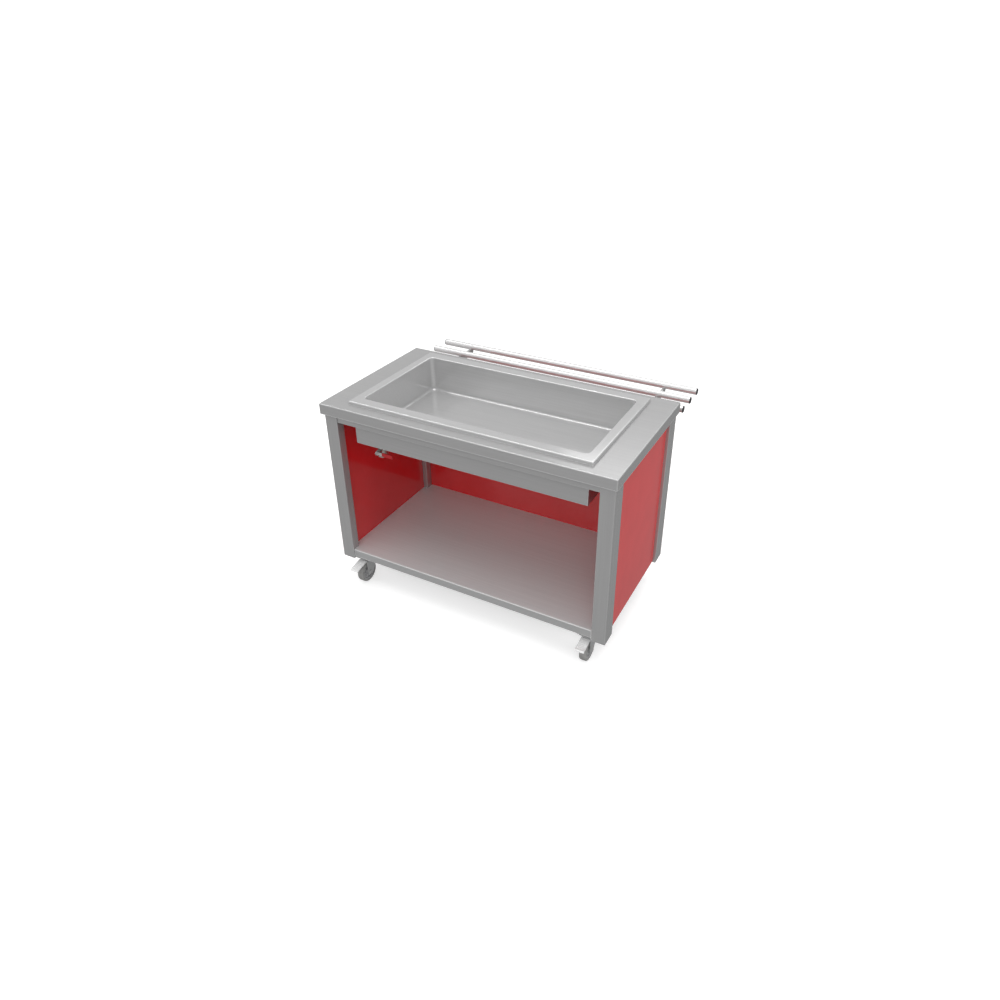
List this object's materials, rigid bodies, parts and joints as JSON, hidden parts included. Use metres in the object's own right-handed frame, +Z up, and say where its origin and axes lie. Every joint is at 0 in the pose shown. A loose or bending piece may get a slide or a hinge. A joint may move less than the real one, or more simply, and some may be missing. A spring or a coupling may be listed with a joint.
{
  "type": "ice display counter",
  "caption": "Mobile stainless ice display counter with an insulated well and drain valve, open storage shelf, red side panels, rear tray slide and swivel castors.",
  "frame": {"origin": "on the floor below the middle of the whole outline at rest, tray slide and brake pedals included", "axes": "+X along the counter to the right as seen from the open service side, +Y towards the customer side with the tray slide, +Z up"},
  "size_m": [1.3, 1.005, 0.915],
  "materials": {
    "satin_steel": "satin brushed stainless sheet",
    "polished_steel": "bright polished stainless tube",
    "red_laminate": "gloss red laminated board",
    "foam": "rigid closed-cell foam",
    "zinc_steel": "bright zinc-plated pressed steel",
    "grey_rubber": "grey non-marking rubber",
    "grey_plastic": "moulded grey nylon",
    "black_plastic": "moulded black polyethylene",
    "nickel_brass": "nickel-plated brass",
    "red_vinyl": "dipped red vinyl",
    "seal_rubber": "black seal rubber",
    "chrome_steel": "polished chromed steel"
  },
  "bodies": {
    "counter": {"worktop": "satin_steel", "ice_well": "satin_steel", "well_casing": "satin_steel", "well_insulation": "foam", "storage_shelf": "satin_steel", "panel_left": "red_laminate", "panel_right": "red_laminate", "panel_back": "red_laminate", "castor_bearer_left": "satin_steel", "castor_bearer_right": "satin_steel", "drain_gasket": "seal_rubber", "drain_outlet": "satin_steel", "drain_locknut": "nickel_brass", "drain_strainer": "satin_steel", "valve_body": "nickel_brass", "valve_packing_nut": "nickel_brass", "tray_rail_front": "polished_steel", "tray_rail_middle": "polished_steel", "tray_rail_back": "polished_steel", "tray_rail_caps": "black_plastic", "tray_bracket_left": "satin_steel", "tray_bracket_right": "satin_steel", "tray_bracket_bolts": "zinc_steel", "castor_bolts": "zinc_steel", "leg_plugs": "black_plastic", "frame_rail_front": "satin_steel", "frame_rail_back": "satin_steel", "frame_rail_left": "satin_steel", "frame_rail_right": "satin_steel", "leg_front_left": "satin_steel", "castor_plate_front_left": "zinc_steel", "leg_front_right": "satin_steel", "castor_plate_front_right": "zinc_steel", "leg_back_left": "satin_steel", "castor_plate_back_left": "zinc_steel", "leg_back_right": "satin_steel", "castor_plate_back_right": "zinc_steel"},
    "valve_handle": {"valve_ball": "chrome_steel", "valve_stem": "nickel_brass", "valve_lever": "zinc_steel", "valve_lever_grip": "red_vinyl", "valve_lever_nut": "zinc_steel"},
    "swivel_front_left": {"castor_fork_front_left": "zinc_steel", "castor_axle_front_left": "zinc_steel"},
    "wheel_front_left": {"castor_hub_front_left": "grey_plastic", "castor_tyre_front_left": "grey_rubber"},
    "swivel_front_right": {"castor_fork_front_right": "zinc_steel", "castor_axle_front_right": "zinc_steel"},
    "wheel_front_right": {"castor_hub_front_right": "grey_plastic", "castor_tyre_front_right": "grey_rubber"},
    "swivel_back_left": {"castor_fork_back_left": "zinc_steel", "castor_axle_back_left": "zinc_steel"},
    "wheel_back_left": {"castor_hub_back_left": "grey_plastic", "castor_tyre_back_left": "grey_rubber"},
    "swivel_back_right": {"castor_fork_back_right": "zinc_steel", "castor_axle_back_right": "zinc_steel"},
    "wheel_back_right": {"castor_hub_back_right": "grey_plastic", "castor_tyre_back_right": "grey_rubber"},
    "pedal_front_left": {"brake_pedal_front_left": "chrome_steel"},
    "pedal_front_right": {"brake_pedal_front_right": "chrome_steel"}
  },
  "joints": [
    {"name": "valve_turn", "type": "hinge", "parent": "counter", "child": "valve_handle", "pos_m": [-0.4575, -0.3325, 0.6685], "axis": [0, 1, 0], "range_deg": [0, 90]},
    {"name": "swivel_turn_front_left", "type": "hinge", "parent": "counter", "child": "swivel_front_left", "pos_m": [-0.552, -0.3815, 0.12], "axis": [0, 0, 1], "continuous": true},
    {"name": "wheel_roll_front_left", "type": "hinge", "parent": "swivel_front_left", "child": "wheel_front_left", "pos_m": [-0.552, -0.4175, 0.05], "axis": [1, 0, 0], "continuous": true},
    {"name": "swivel_turn_front_right", "type": "hinge", "parent": "counter", "child": "swivel_front_right", "pos_m": [0.552, -0.3815, 0.12], "axis": [0, 0, 1], "continuous": true},
    {"name": "wheel_roll_front_right", "type": "hinge", "parent": "swivel_front_right", "child": "wheel_front_right", "pos_m": [0.552, -0.4175, 0.05], "axis": [1, 0, 0], "continuous": true},
    {"name": "swivel_turn_back_left", "type": "hinge", "parent": "counter", "child": "swivel_back_left", "pos_m": [-0.552, 0.1365, 0.12], "axis": [0, 0, 1], "continuous": true},
    {"name": "wheel_roll_back_left", "type": "hinge", "parent": "swivel_back_left", "child": "wheel_back_left", "pos_m": [-0.552, 0.1005, 0.05], "axis": [1, 0, 0], "continuous": true},
    {"name": "swivel_turn_back_right", "type": "hinge", "parent": "counter", "child": "swivel_back_right", "pos_m": [0.552, 0.1365, 0.12], "axis": [0, 0, 1], "continuous": true},
    {"name": "wheel_roll_back_right", "type": "hinge", "parent": "swivel_back_right", "child": "wheel_back_right", "pos_m": [0.552, 0.1005, 0.05], "axis": [1, 0, 0], "continuous": true},
    {"name": "pedal_press_front_left", "type": "hinge", "parent": "swivel_front_left", "child": "pedal_front_left", "pos_m": [-0.552, -0.4265, 0.107], "axis": [1, 0, 0], "range_deg": [0, 12]},
    {"name": "pedal_press_front_right", "type": "hinge", "parent": "swivel_front_right", "child": "pedal_front_right", "pos_m": [0.552, -0.4265, 0.107], "axis": [1, 0, 0], "range_deg": [0, 12]}
  ]
}
